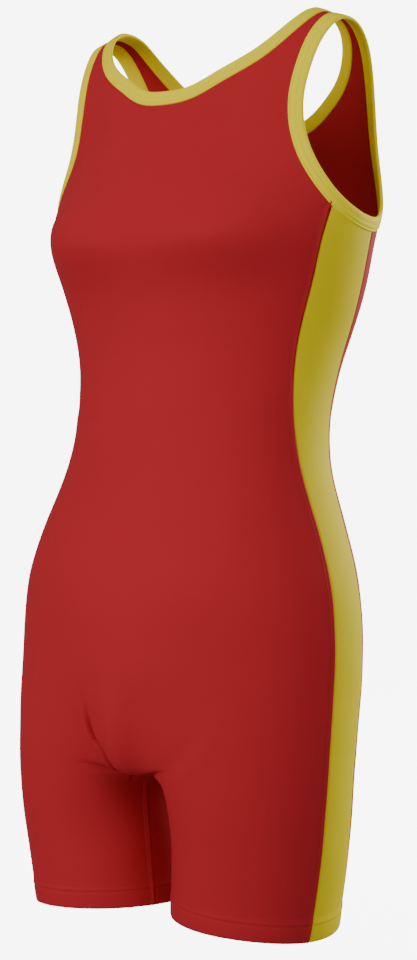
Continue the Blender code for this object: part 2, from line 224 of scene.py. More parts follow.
# ---------------------------------------------------------------- the form
def batten(places, values):
    """A natural cubic spline through values at increasing places, as a function."""
    places = np.asarray(places, float)
    values = np.asarray(values, float)
    gap = np.diff(places)
    slope = np.diff(values, axis=0) / gap.reshape(-1, *[1] * (values.ndim - 1))
    count = len(places)
    system = np.zeros((count, count))
    system[0, 0] = system[-1, -1] = 1.0
    wanted = np.zeros_like(values)
    for i in range(1, count - 1):
        system[i, i - 1 : i + 2] = gap[i - 1], 2 * (gap[i - 1] + gap[i]), gap[i]
        wanted[i] = 6 * (slope[i] - slope[i - 1])
    bend = np.linalg.solve(system, wanted)

    def at(place):
        place = np.clip(np.asarray(place, float), places[0], places[-1])
        i = np.clip(np.searchsorted(places, place) - 1, 0, count - 2)
        lower = place - places[i]
        upper = places[i + 1] - place
        width = gap[i]
        if values.ndim > 1:
            lower, upper, width = lower[..., None], upper[..., None], width[..., None]
        curve = (bend[i] * upper**3 + bend[i + 1] * lower**3) / (6 * width)
        from_below = (values[i] / width - bend[i] * width / 6) * upper
        from_above = (values[i + 1] / width - bend[i + 1] * width / 6) * lower
        return curve + from_below + from_above

    return at


def read_table(columns, rows):
    """Each named column as a batten over the first, the level."""
    rows = np.array(sorted(rows), float)
    return {name: batten(rows[:, 0], rows[:, i]) for i, name in enumerate(columns) if i}


torso = read_table(TORSO_COLUMNS, TORSO)
leg = read_table(LEG_COLUMNS, LEG)
side = read_table(SIDE_COLUMNS, SIDE)


def torso_ring(share, level):
    """x and y on the torso's ring."""
    angle = math.pi * share
    in_front = np.cos(angle) > 0
    square = np.where(in_front, torso["front_square"](level), torso["back_square"](level))
    depth = np.where(in_front, torso["front"](level), torso["back"](level))
    y = -depth * ((1 + square) * np.cos(angle) - square * np.cos(3 * angle))
    left = np.exp(-(((angle - BUST_ANGLE) / BUST_SPREAD) ** 2))
    right = np.exp(-(((angle + BUST_ANGLE) / BUST_SPREAD) ** 2))
    spread = np.where(level > BUST_LEVEL, BUST_ABOVE, BUST_BELOW)
    y = y - BUST_DEPTH * np.exp(-(((level - BUST_LEVEL) / spread) ** 2)) * (left + right)
    return torso["half_width"](level) * np.sin(angle), torso["middle_y"](level) + y


def leg_ring(share, level):
    """x and y on the left leg's ring, whose inseam is both share 0 and share 1."""
    whole = 2 * math.pi * share
    angle = whole + OUTSEAM_EASE * np.sin(whole) + INSEAM_TURN * np.cos(whole / 2) ** 2
    x = leg["middle_x"](level) - leg["half_width"](level) * np.cos(angle)
    y = leg["middle_y"](level) - leg["half_depth"](level) * np.sin(angle)
    at_inseam = np.exp(-((np.sin(whole / 2) / 0.12) ** 2))
    at_crotch = np.exp(-np.clip(CROTCH_LEVEL - level, 0, None) / 0.006)
    return x * (1 - at_inseam * at_crotch), y


def form(share, height):
    """Points of the form, shaped (..., 3). Height is the level as far as the springing of the shoulder
    arch, then the way along the arch, to RIDGE on top of the shoulder."""
    share, height = np.broadcast_arrays(np.asarray(share, float), np.asarray(height, float))
    arch = np.clip((height - SPRING_LEVEL) / ARCH_RISE, 0, math.pi / 2)
    level = np.minimum(height, SPRING_LEVEL)
    x, y = torso_ring(share, level)
    top = (SHOULDER_X - x) * math.tan(SHOULDER_SLOPE)
    level = level + (top - SPRING_LEVEL) * np.sin(arch)
    x, y = torso_ring(share, level)
    power = np.where(share < 0.5, FRONT_ARCH_POWER, BACK_ARCH_POWER)
    y = SHOULDER_Y + (y - SHOULDER_Y) * (1 - np.sin(arch) ** power) ** (1 / power)
    parting = CROTCH_LEVEL + GROIN_RISE * (1 - np.exp(-((np.sin(math.pi * share) / GROIN_SPREAD) ** 2)))
    split = np.clip((SPLIT_LEVEL - level) / (SPLIT_LEVEL - parting), 0, 1)
    fork = 1 - (1 - split**CROTCH_POWER) ** (1 / CROTCH_POWER)
    eased = np.clip((SPLIT_LEVEL - level) / (SPLIT_LEVEL - THIGH_LEVEL), 0, 1)
    eased = eased**2 * (3 - 2 * eased)
    between_legs = np.exp(-((np.sin(math.pi * share) / FORK_SPREAD) ** 2))
    legward = eased + between_legs * (fork - eased)
    leg_x, leg_y = leg_ring(share, level)
    return np.stack([x + legward * (leg_x - x), y + legward * (leg_y - y), level], axis=-1)


def slopes(places):
    """The form's change per share and per height, and its outward normal, at places shaped (..., 2)."""
    share, height = places[..., 0], places[..., 1]
    step = 1e-4
    inner = np.clip(share, step, 1 - step)
    lower = np.minimum(height, RIDGE - 2 * step)
    by_share = (form(inner + step, lower) - form(inner - step, lower)) / (2 * step)
    by_height = (form(inner, lower + step) - form(inner, lower - step)) / (2 * step)
    normal = np.cross(by_share, by_height)
    return by_share, by_height, normal / np.linalg.norm(normal, axis=-1, keepdims=True)


# ---------------------------------------------------------------- edges
def edge_line(table):
    """A free edge as a function of the way along it, 0 to 1, giving places."""
    places = np.array(table, float) / (180.0, 1.0)
    along = np.hypot(np.diff(places[:, 0]) * 0.35, np.diff(places[:, 1]))
    along = np.concatenate([[0.0], np.cumsum(along)])
    return batten(along / along[-1], places)


def inset(edge, ways, distance):
    """Places that lie a distance in from an edge, square to it on the cloth."""
    step = 1e-3
    places = edge(ways)
    by_share, by_height, normal = slopes(places)
    before, after = edge(np.clip(ways - step, 0, 1)), edge(np.clip(ways + step, 0, 1))
    change = after - before
    run = by_share * change[..., :1] + by_height * change[..., 1:]
    aside = np.cross(run, normal)
    aside = aside / np.linalg.norm(aside, axis=-1, keepdims=True)
    moved = []
    for way in range(len(places)):
        basis = np.stack([by_share[way], by_height[way]], axis=-1)
        moved.append(np.linalg.lstsq(basis, aside[way] * distance, rcond=None)[0])
    return places + np.array(moved)


neck_front = edge_line(NECK_FRONT)
neck_back = edge_line(NECK_BACK)
armhole = edge_line(ARMHOLE)


def seam_way(seam, low, high):
    """How far along the armhole the named side seam runs into it."""
    ways = np.linspace(low, high, 400)
    places = inset(armhole, ways, BINDING_WIDTH)
    return float(np.interp(0.0, places[:, 0] - side[seam](places[:, 1]), ways))


FRONT_WAY = seam_way("front_seam", 0.3, 0.6)
BACK_WAY = seam_way("back_seam", 0.45, 0.75)


# ---------------------------------------------------------------- grids of places
def levels(top, finish):
    """Levels of the rows from the hem up to top; finish is the number of rows per metre."""
    thigh = np.linspace(HEM_LEVEL + 0.026, CROTCH_LEVEL - 0.012, round(0.09 * finish))
    thigh = np.concatenate([HEM_LEVEL + np.array(HEM_ROWS), thigh])
    below = CROTCH_LEVEL - 0.012 * np.linspace(1, 0, 13)[1:] ** 1.6
    legward = np.linspace(1, 0, CROTCH_ROWS)[1:-1] ** 2.2
    split = (1 - (1 - legward) ** CROTCH_POWER) ** (1 / CROTCH_POWER)
    fork = SPLIT_LEVEL - split * (SPLIT_LEVEL - CROTCH_LEVEL)
    body = np.linspace(fork[-1], top, round((top - fork[-1]) * finish))[1:]
    return np.concatenate([thigh, below, fork, body])


def hem_slope(share, level):
    """The hem is a little higher at the inseam than at the side, and the rows above it follow."""
    legward = np.clip((CROTCH_LEVEL - level) / (CROTCH_LEVEL - HEM_LEVEL), 0, 1)
    return level + HEM_RISE * legward * np.cos(2 * math.pi * share)


def column_shares(columns, crowded):
    """Shares of the way across a panel, crowded towards both edges, and in the crowded first fifth too."""
    edge = np.array(SEAM_COLUMNS)
    near = np.linspace(0.04, 0.16, crowded, endpoint=False)
    return np.concatenate([edge, near, np.linspace(0.16, 0.954, columns), 1 - edge[::-1]])


def panel_places(centre_share, seam, arm_edge, neck_edge, centre_rows, across, finish):
    """Places of one half of the front or the back, rows from the hem up, columns from the centre out."""
    rows = levels(arm_edge[0, 1], finish)[:-1]
    centre_levels = np.linspace(rows[-1], neck_edge[0, 1], centre_rows + 2)[1:]
    inner = np.concatenate(
        [
            np.stack([np.full(len(rows), centre_share), rows], axis=-1),
            np.stack([np.full(centre_rows + 1, centre_share), centre_levels], axis=-1),
            neck_edge[1:],
        ]
    )
    outer = np.concatenate([np.stack([side[seam](rows), rows], axis=-1), arm_edge])
    across = across[:, None]
    places = inner[:, None] * (1 - across) + outer[:, None] * across
    places[..., 1] = hem_slope(places[..., 0], places[..., 1])
    return places


def front_places(singlet):
    yoke = round(0.26 * singlet.rows_per_metre)
    centre = yoke // 4
    neck_edge = inset(neck_front, np.linspace(0, 1, yoke - centre + 1), BINDING_WIDTH - singlet.tuck)
    arm_edge = inset(armhole, np.linspace(FRONT_WAY, 0, yoke + 1), BINDING_WIDTH - singlet.tuck)
    neck_edge[0, 0] = 0.0
    neck_edge[-1, 1] = arm_edge[-1, 1] = RIDGE
    finish = singlet.rows_per_metre
    across = column_shares(singlet.columns - 8, 32)
    return panel_places(0.0, "front_seam", arm_edge, neck_edge, centre, across, finish)


def back_places(singlet):
    yoke = round(0.26 * singlet.rows_per_metre)
    centre = yoke // 4
    neck_edge = inset(neck_back, np.linspace(1, 0, yoke - centre + 1), BINDING_WIDTH - singlet.tuck)
    arm_edge = inset(armhole, np.linspace(BACK_WAY, 1, yoke + 1), BINDING_WIDTH - singlet.tuck)
    neck_edge[0, 0] = 1.0
    neck_edge[-1, 1] = arm_edge[-1, 1] = RIDGE
    finish = singlet.rows_per_metre
    across = column_shares(singlet.columns, 12)
    return panel_places(1.0, "back_seam", arm_edge, neck_edge, centre, across, finish)[:, ::-1]


def side_places(singlet):
    """Places of a side panel, columns from the front seam to the back seam."""
    middle = np.linspace(0.2, 0.8, max(6, singlet.columns // 6))
    across = np.concatenate([np.linspace(0, 0.15, 8), middle, np.linspace(0.85, 1, 8)])
    top = inset(armhole, FRONT_WAY + (BACK_WAY - FRONT_WAY) * across, BINDING_WIDTH - singlet.tuck)
    front = levels(top[0, 1], singlet.rows_per_metre)
    back = levels(top[-1, 1], singlet.rows_per_metre)
    place = np.linspace(0, 1, len(front))
    back = np.interp(place, np.linspace(0, 1, len(back)), back)
    share = side["front_seam"](front)[:, None] * (1 - across) + side["back_seam"](back)[:, None] * across
    height = front[:, None] * (1 - across) + back[:, None] * across
    rise = np.clip((height - SPLIT_LEVEL) / (height[-1] - SPLIT_LEVEL), 0, 1) ** 4
    gap = top - np.stack([share[-1], height[-1]], axis=-1)
    places = np.stack([share, height], axis=-1) + rise[..., None] * gap
    places[..., 1] = hem_slope(places[..., 0], places[..., 1])
    return places


# ---------------------------------------------------------------- how far the cloth stands off the form
# The share of a crease's run over which it deepens, and how softly it stops past its ends.
CREASE_ONSET = 0.40
CREASE_END = 0.008


def bump(distance, width):
    return np.exp(-((distance / width) ** 2))


def crease_relief(points):
    """The soft troughs and ridges, as a height at every point of the form."""
    relief = np.zeros(points.shape[:-1])
    for row in CREASES:
        crease = dict(zip(CREASE_COLUMNS, row))
        line = np.array(crease["line"]) / (180.0, 1.0)
        ways = np.linspace(0, 1, 61)
        track = batten(np.linspace(0, 1, len(line)), line)(ways)
        path = form(track[:, 0], track[:, 1])
        across = np.cross(slopes(track)[2], np.gradient(path, axis=0))
        across = across / np.linalg.norm(across, axis=-1, keepdims=True) * (crease["half"], 1, 1)
        path = path * (crease["half"], 1, 1)
        reach = 5 * crease["half_width"]
        close = np.all((points > path.min(0) - reach) & (points < path.max(0) + reach), axis=-1)
        near = np.flatnonzero(close.ravel())
        offset = points.reshape(-1, 3)[near][:, None] - path
        apart = np.linalg.norm(offset, axis=-1)
        nearest = apart.argmin(axis=1)
        pick = np.arange(len(near))
        apart = apart[pick, nearest]
        beside = np.einsum("ij,ij->i", offset[pick, nearest], across[nearest])
        way = ways[nearest]
        fade = np.clip(way / CREASE_ONSET, 0, 1) ** 1.2 * np.clip((1 - way) / crease["tail"], 0, 1) ** 0.8
        past_end = np.maximum(apart - np.abs(beside), 0)
        fade = fade * np.clip(1.5 - apart / reach, 0, 1) * bump(past_end, CREASE_END)
        width = crease["half_width"] * (1.25 - 0.45 * way)
        trough = crease["depth"] * bump(beside, width)
        ridge = crease["ridge"] * bump(beside - 1.9 * width, 1.1 * width)
        relief.reshape(-1)[near] += (ridge - trough) * fade
    return relief


def slack(points):
    """The unevenness of a knit that is not stretched the same everywhere."""
    x, y, z = points[..., 0], points[..., 1], points[..., 2]
    broad = np.sin(31 * z + 17 * x + 1.3) * np.sin(23 * x - 19 * y + 0.4)
    finer = np.sin(71 * z - 37 * x + 11 * y + 2.1) * np.sin(53 * y + 29 * x + 43 * z)
    return 0.00035 * broad + 0.00016 * finer


def from_edge(points, axis, start):
    """Distance over the cloth from the grid's first (start) or last line across the given axis."""
    steps = np.linalg.norm(np.diff(points, axis=axis), axis=-1)
    if start:
        run = np.cumsum(steps, axis=axis)
        zero = np.zeros_like(np.take(run, [0], axis=axis))
        return np.concatenate([zero, run], axis=axis)
    run = np.flip(np.cumsum(np.flip(steps, axis=axis), axis=axis), axis=axis)
    return np.concatenate([run, np.zeros_like(np.take(run, [0], axis=axis))], axis=axis)


def hem_relief(points):
    """The turned-up hem's second layer, its top edge and the two rows of stitching pulled into it."""
    up = from_edge(points, 0, True)
    doubled = 0.0008 / (1 + np.exp(np.clip((up - HEM_DEPTH) / 0.0004, -40, 40)))
    rows = 0.00045 * (bump(up - HEM_STITCHES[0], 0.0008) + bump(up - HEM_STITCHES[1], 0.0008))
    roll = 0.0005 * bump(up, 0.0012)
    return doubled - rows - roll


def seam_relief(distance, ridge):
    """A seam sewn with its edges turned in: a narrow furrow, and a low ridge beside it."""
    return -0.0006 * bump(distance, 0.0007) + ridge * bump(distance - 0.0022, 0.0013)


# ---------------------------------------------------------------- meshes and materials
def linear(code):
    """An sRGB hex colour as linear values."""
    values = []
    for start in (1, 3, 5):
        part = int(code[start : start + 2], 16) / 255
        values.append(part / 12.92 if part <= 0.04045 else ((part + 0.055) / 1.055) ** 2.4)
    return (*values, 1.0)


def add_node(tree, kind, inputs=None, **settings):
    """One node with its settings and its input values or links."""
    node = tree.nodes.new(kind)
    for name, value in settings.items():
        setattr(node, name, value)
    for name, value in (inputs or {}).items():
        if isinstance(value, bpy.types.NodeSocket):
            tree.links.new(value, node.inputs[name])
        else:
            node.inputs[name].default_value = value
    return node


def knit_material(name, code, shade_code, wale, rough, sheen):
    """Smooth warp knit of polyester and elastane: fine wales along the cloth, a satin face, no pile."""
    made = bpy.data.materials.get(name)
    if made:
        return made
    made = bpy.data.materials.new(name)
    made.use_nodes = True
    tree = made.node_tree
    shader = tree.nodes["Principled BSDF"]
    place = add_node(tree, "ShaderNodeUVMap", uv_map="cloth")
    loops_per_metre = (1 / wale, 0.8 / wale, 1)
    cell = add_node(tree, "ShaderNodeMapping", {"Vector": place.outputs["UV"], "Scale": loops_per_metre})
    waves = {"Vector": cell.outputs["Vector"], "Scale": 0.5, "Detail": 1.0, "Detail Scale": 2.0}
    wales = add_node(
        tree,
        "ShaderNodeTexWave",
        {**waves, "Distortion": 0.6},
        bands_direction="X",
        wave_profile="SIN",
    )
    courses = add_node(
        tree,
        "ShaderNodeTexWave",
        {**waves, "Distortion": 0.8},
        bands_direction="Y",
        wave_profile="SIN",
    )
    loops = add_node(
        tree,
        "ShaderNodeMath",
        {0: wales.outputs["Fac"], 1: courses.outputs["Fac"]},
        operation="MULTIPLY",
    )
    world = add_node(tree, "ShaderNodeTexCoord")
    broad = add_node(
        tree,
        "ShaderNodeTexNoise",
        {"Vector": world.outputs["Object"], "Scale": 9.0, "Detail": 3.0, "Roughness": 0.5},
    )
    tone = add_node(
        tree,
        "ShaderNodeMix",
        {"Factor": broad.outputs["Fac"], 6: linear(shade_code), 7: linear(code)},
        data_type="RGBA",
    )
    tree.links.new(tone.outputs[2], shader.inputs["Base Color"])
    relief = add_node(
        tree, "ShaderNodeBump", {"Height": loops.outputs["Value"], "Strength": 0.35, "Distance": 0.00012}
    )
    tree.links.new(relief.outputs["Normal"], shader.inputs["Normal"])
    shader.inputs["Roughness"].default_value = rough
    shader.inputs["Specular IOR Level"].default_value = 0.05
    shader.inputs["Sheen Weight"].default_value = sheen
    shader.inputs["Sheen Roughness"].default_value = 0.6
    shader.inputs["Sheen Tint"].default_value = linear(code)
    return made


def red_knit():
    """The body's knit."""
    return knit_material("red_elastane_warp_knit", "#B82930", "#AF262D", 0.0007, 0.66, 0.012)


def yellow_knit():
    """The side panels' knit: the bindings' yellow cloth, darkened as painted shade for panels turned away
    from the front lights.
    """
    return knit_material("yellow_elastane_warp_knit", "#EBD600", "#E5CF00", 0.0007, 0.66, 0.012)


def binding_knit():
    """The bindings' knit, the yellow cloth's own colour; the side panels' darker copy of it is painted
    shade.
    """
    return knit_material("bright_yellow_binding_knit", "#FFEC0A", "#FAE606", 0.0007, 0.64, 0.012)


def thread_material(name, code):
    """Textured polyester sewing thread."""
    made = bpy.data.materials.get(name)
    if made:
        return made
    made = bpy.data.materials.new(name)
    made.use_nodes = True
    shader = made.node_tree.nodes["Principled BSDF"]
    shader.inputs["Base Color"].default_value = linear(code)
    shader.inputs["Roughness"].default_value = 0.6
    return made


def mesh_object(name, points, faces, cloth, flat_places=None):
    """A smooth mesh from numpy arrays, with the UV map cloth in metres."""
    mesh = bpy.data.meshes.new(name)
    mesh.vertices.add(len(points))
    mesh.vertices.foreach_set("co", np.asarray(points, np.float32).ravel())
    mesh.loops.add(faces.size)
    mesh.loops.foreach_set("vertex_index", faces.ravel().astype(np.int32))
    mesh.polygons.add(len(faces))
    mesh.polygons.foreach_set("loop_start", np.arange(0, faces.size, 4, dtype=np.int32))
    if flat_places is not None:
        layer = mesh.uv_layers.new(name="cloth")
        layer.data.foreach_set("uv", flat_places[faces.ravel()].astype(np.float32).ravel())
    mesh.update(calc_edges=True)
    mesh.validate()
    mesh.polygons.foreach_set("use_smooth", np.ones(len(mesh.polygons), bool))
    mesh.materials.append(cloth)
    thing = bpy.data.objects.new(name, mesh)
    bpy.context.scene.collection.objects.link(thing)
    return thing


def grid_faces(rows, columns, start=0):
    corner = np.arange(rows - 1)[:, None] * columns + np.arange(columns - 1) + start
    return np.stack([corner, corner + 1, corner + columns + 1, corner + columns], axis=-1).reshape(-1, 4)


def shell(name, outer, inner, flat_places, cloth):
    """A closed thin shell between two like grids of points, outer facing out."""
    rows, columns = outer.shape[:2]
    count = rows * columns
    faces = grid_faces(rows, columns)
    index = np.arange(count).reshape(rows, columns)
    loop = np.concatenate([index[0], index[1:, -1], index[-1, -2::-1], index[-2:0:-1, 0]])
    after = np.roll(loop, -1)
    rim = np.stack([after, loop, loop + count, after + count], axis=-1)
    faces = np.concatenate([faces, faces[:, ::-1] + count, rim])
    points = np.concatenate([outer.reshape(-1, 3), inner.reshape(-1, 3)])
    flat = np.concatenate([flat_places.reshape(-1, 2)] * 2)
    return mesh_object(name, points, faces, cloth, flat)


def join_halves(name, halves):
    """Joins a piece's halves into one mesh and closes the line where they meet."""
    mesh = bmesh.new()
    for half in halves:
        mesh.from_mesh(half.data)
    bmesh.ops.remove_doubles(mesh, verts=mesh.verts, dist=2e-6)
    inside = [face for face in mesh.faces if all(abs(v.co.x) < 1e-6 for v in face.verts)]
    bmesh.ops.delete(mesh, geom=inside, context="FACES")
    mesh.to_mesh(halves[0].data)
    mesh.free()
    halves[0].name = name
    bpy.data.objects.remove(halves[1])
    return halves[0]


# ---------------------------------------------------------------- pieces
# The height of cloth over a panel's side seam, up the armhole's edge to the shoulder's top.
SHOULDER_RUN = 0.26


def cloth_points(places, half, singlet, seams):
    """Outer and inner points and flat places of one half of a panel. seams lists (axis, from the start of
    that axis, ridge, last row) of each sewn edge."""
    normal = slopes(places)[2]
    points = form(places[..., 0], places[..., 1])
    mirrored = points * (half, 1, 1)
    stand = singlet.stand_off + slack(mirrored) * singlet.crease_strength
    stand = stand + crease_relief(mirrored) * singlet.crease_strength
    stand = stand + hem_relief(points)
    for axis, start, ridge, last in seams:
        sewn = seam_relief(from_edge(points, axis, start), ridge)
        sewn[last:] = 0.0
        stand = stand + sewn
    outer = points + normal * stand[..., None]
    inner = points + normal * (stand[..., None] - singlet.cloth)
    middle = points[..., 0] < 1e-7
    outer[middle, 0] = 0.0
    inner[middle, 0] = 0.0
    across = from_edge(points, 1, True)
    up = np.broadcast_to(places[..., 1], across.shape)
    return outer * (half, 1, 1), inner * (half, 1, 1), np.stack([across, up], axis=-1)


def half_panel(name, places, half, singlet, seams, cloth):
    outer, inner, flat = cloth_points(places, half, singlet, seams)
    if half < 0:
        outer, inner, flat = outer[:, ::-1], inner[:, ::-1], flat[:, ::-1]
    return shell(name, outer, inner, flat, cloth)


def rows_to(places, column, level):
    """The number of rows whose given column lies at or under a level."""
    return int(np.sum(places[:, column, 1] <= level + 1e-9))


def side_seam_rows(places, column, singlet):
    """The number of rows under the shoulder's, which a side seam runs along."""
    return rows_to(places[: -round(SHOULDER_RUN * singlet.rows_per_metre)], column, 0.0)


def declare(thing, node):
    """Attaches a finished piece to the root body and hides its CAD node."""
    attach(thing, "root")
    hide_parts(node)


def build_front(singlet):
    places = front_places(singlet)
    join = side_seam_rows(places, -1, singlet)
    fork = rows_to(places, 0, CROTCH_LEVEL) - 1
    seams = [(1, False, 0.0008, join), (1, True, 0.0008, fork)]
    halves = [half_panel("front_half", places, half, singlet, seams, red_knit()) for half in (1, -1)]
    return join_halves("front_panel_knit", halves)


def build_back(singlet):
    places = back_places(singlet)
    join = side_seam_rows(places, 0, singlet)
    fork = rows_to(places, -1, CROTCH_LEVEL) - 1
    seams = [(1, True, 0.0, join), (1, False, 0.0, fork)]
    halves = [half_panel("back_half", places, half, singlet, seams, red_knit()) for half in (1, -1)]
    return join_halves("back_panel_knit", halves)


def build_side(singlet, half):
    places = side_places(singlet)
    seams = [(1, True, 0.0, len(places)), (1, False, 0.0, len(places))]
    name = "side_panel_left_knit" if half > 0 else "side_panel_right_knit"
    return half_panel(name, places, half, singlet, seams, yellow_knit())


# The folded strip's section: share of its width in from the free edge, and height over the form.
BINDING_COLUMNS = ("inward", "height")
BINDING_SECTION = (
    (1.000, 0.0006),
    (1.000, 0.0015),
    (0.985, 0.0021),
    (0.940, 0.0024),
    (0.880, 0.0023),
    (0.845, 0.0020),
    (0.800, 0.0024),
    (0.680, 0.0027),
    (0.540, 0.0027),
    (0.490, 0.0025),
    (0.440, 0.0027),
    (0.280, 0.0028),
    (0.140, 0.0027),
    (0.050, 0.0022),
    (0.008, 0.0015),
    (0.000, 0.0007),
    (0.008, 0.0000),
    (0.050, -0.0006),
    (0.140, -0.0009),
    (0.440, -0.0009),
    (0.700, -0.0007),
    (0.940, -0.0004),
    (1.000, 0.0000),
)


def strip(edge, ways):
    """Points of the strip's section at every way along an edge, with flat places."""
    free = edge(ways)
    seam = inset(edge, ways, BINDING_WIDTH)
    rings = []
    for inward, height in BINDING_SECTION:
        places = free * (1 - inward) + seam * inward
        places = np.stack([np.clip(places[:, 0], 0, 1), np.minimum(places[:, 1], RIDGE)], axis=-1)
        rings.append(form(places[:, 0], places[:, 1]) + slopes(places)[2] * height)
    return np.stack(rings, axis=1)


def strip_piece(name, points):
    """Closes the strip's rings into one piece."""
    count, ring = points.shape[:2]
    index = np.arange(count * ring).reshape(count, ring)
    after, up = np.roll(index, -1, 0), np.roll(index, -1, 1)
    beyond = np.roll(after, -1, 1)
    faces = np.stack([index, after, beyond, up], axis=-1).reshape(-1, 4)
    girth = np.linspace(0, 2 * BINDING_WIDTH, ring)
    length = np.concatenate([[0], np.cumsum(np.linalg.norm(np.diff(points[:, 8], axis=0), axis=-1))])
    flat = np.stack(np.broadcast_arrays(girth[None, :], length[:, None]), axis=-1)
    return mesh_object(name, points.reshape(-1, 3), faces, binding_knit(), flat.reshape(-1, 2))


def rounded(points, index):
    """Eases the strip over the shoulder's top, where its front and back halves meet."""
    eased = points.copy()
    for _ in range(2):
        eased[index] = (eased[index - 1] + 2 * eased[index] + eased[(index + 1) % len(points)]) / 4
    return eased


def build_neck(singlet):
    count = round(0.30 * singlet.rows_per_metre)
    ways = np.linspace(0, 1, count + 1)
    front, back = strip(neck_front, ways), strip(neck_back, ways)
    left = np.concatenate([front[:-1], (front[-1:] + back[:1]) / 2, back[1:]])
    left[[0, -1], :, 0] = 0.0
    left = rounded(left, count)
    return strip_piece("neck_binding_knit", np.concatenate([left, left[-2:0:-1] * (-1, 1, 1)]))


def build_armhole(singlet, half):
    ways = np.linspace(0, 1, round(0.50 * singlet.rows_per_metre) + 1)
    points = strip(armhole, ways)
    points = np.concatenate([(points[:1] + points[-1:]) / 2, points[1:-1]])
    points = rounded(points, 0)
    if half > 0:
        return strip_piece("armhole_binding_left_knit", points)
    return strip_piece("armhole_binding_right_knit", points[::-1] * (-1, 1, 1))


# ---------------------------------------------------------------- stitches
def stitch_tree():
    """Thread stitches laid end to end along curves, by Geometry Nodes."""
    tree = bpy.data.node_groups.new("stitches_along_curves", "GeometryNodeTree")
    sockets = tree.interface
    sockets.new_socket("Curves", in_out="INPUT", socket_type="NodeSocketGeometry")
    for name, low in (("Pitch", 0.0015), ("Length", 0.001), ("Thickness", 0.0001)):
        sockets.new_socket(name, in_out="INPUT", socket_type="NodeSocketFloat").min_value = low
    sockets.new_socket("Thread", in_out="INPUT", socket_type="NodeSocketMaterial")
    sockets.new_socket("Stitches", in_out="OUTPUT", socket_type="NodeSocketGeometry")
    given = tree.nodes.new("NodeGroupInput")
    places = tree.nodes.new("GeometryNodeCurveToPoints")
    places.mode = "LENGTH"
    ball = tree.nodes.new("GeometryNodeMeshUVSphere")
    ball.inputs["Segments"].default_value = 6
    ball.inputs["Rings"].default_value = 5
    ball.inputs["Radius"].default_value = 0.5
    size = tree.nodes.new("ShaderNodeCombineXYZ")
    laid = tree.nodes.new("GeometryNodeInstanceOnPoints")
    real = tree.nodes.new("GeometryNodeRealizeInstances")
    paint = tree.nodes.new("GeometryNodeSetMaterial")
    result = tree.nodes.new("NodeGroupOutput")
    for start, end in (
        (given.outputs["Curves"], places.inputs["Curve"]),
        (given.outputs["Pitch"], places.inputs["Length"]),
        (places.outputs["Points"], laid.inputs["Points"]),
        (places.outputs["Rotation"], laid.inputs["Rotation"]),
        (ball.outputs["Mesh"], laid.inputs["Instance"]),
        (given.outputs["Thickness"], size.inputs["X"]),
        (given.outputs["Thickness"], size.inputs["Y"]),
        (given.outputs["Length"], size.inputs["Z"]),
        (size.outputs["Vector"], laid.inputs["Scale"]),
        (laid.outputs["Instances"], real.inputs["Geometry"]),
        (real.outputs["Geometry"], paint.inputs["Geometry"]),
        (given.outputs["Thread"], paint.inputs["Material"]),
        (paint.outputs["Geometry"], result.inputs["Stitches"]),
    ):
        tree.links.new(start, end)
    return tree


def stitches(name, lines, thread, singlet):
    """Stitches along lines of points, as a plain mesh."""
    data = bpy.data.curves.new(name + "_lines", "CURVE")
    data.dimensions = "3D"
    for line in lines:
        spline = data.splines.new("POLY")
        spline.points.add(len(line) - 1)
        spline.points.foreach_set("co", np.concatenate([line, np.ones((len(line), 1))], axis=1).ravel())
    guide = bpy.data.objects.new(name + "_lines", data)
    bpy.context.scene.collection.objects.link(guide)
    tree = bpy.data.node_groups.get("stitches_along_curves") or stitch_tree()
    laid = guide.modifiers.new("stitches", "NODES")
    laid.node_group = tree
    values = {
        "Pitch": singlet.stitch_pitch,
        "Length": singlet.stitch_pitch * 0.8,
        "Thickness": singlet.thread,
        "Thread": thread,
    }
    for item in tree.interface.items_tree:
        if item.in_out == "INPUT" and item.name in values:
            laid[item.identifier] = values[item.name]
    graph = bpy.context.evaluated_depsgraph_get()
    mesh = bpy.data.meshes.new_from_object(guide.evaluated_get(graph))
    bpy.data.objects.remove(guide)
    mesh.name = name
    thing = bpy.data.objects.new(name, mesh)
    bpy.context.scene.collection.objects.link(thing)
    return thing


def on_cloth(places, half, height):
    points = form(places[:, 0], places[:, 1]) + slopes(places)[2] * height
    return points * (half, 1, 1)


def hem_lines(low, high, half, height):
    """The two rows of a twin needle round one panel's share of a hem."""
    lines = []
    for up in HEM_STITCHES:
        share = np.linspace(low, high, 80)
        level = hem_slope(share, np.full(80, HEM_LEVEL + up))
        lines.append(on_cloth(np.stack([share, level], axis=-1), half, height))
    return lines


def seam_line(seam, aside, half, height, top):
    """A line beside a side seam, from the hem up to the armhole."""
    level = np.linspace(HEM_LEVEL + 0.001, top, 260)
    share = side[seam](level)
    places = np.stack([share, hem_slope(share, level)], axis=-1)
    by_share = np.linalg.norm(slopes(places)[0], axis=-1)
    places[:, 0] += aside / by_share
    return on_cloth(places, half, height)


def inseam_line(aside, half, height):
    """A line beside an inseam, on the front panel."""
    level = np.linspace(HEM_LEVEL + 0.001, CROTCH_LEVEL - 0.004, 60)
    places = np.stack([np.zeros(60) + 1e-4, hem_slope(0.0, level)], axis=-1)
    by_share = np.linalg.norm(slopes(places)[0], axis=-1)
    places[:, 0] += aside / by_share
    return on_cloth(places, half, height)


def binding_lines(edge, inward, height, mirrored):
    ways = np.linspace(0.004, 0.996, 160)
    places = edge(ways) * (1 - inward) + inset(edge, ways, BINDING_WIDTH) * inward
    places[:, 1] = np.minimum(places[:, 1], RIDGE - 1e-4)
    return on_cloth(places, mirrored, height)


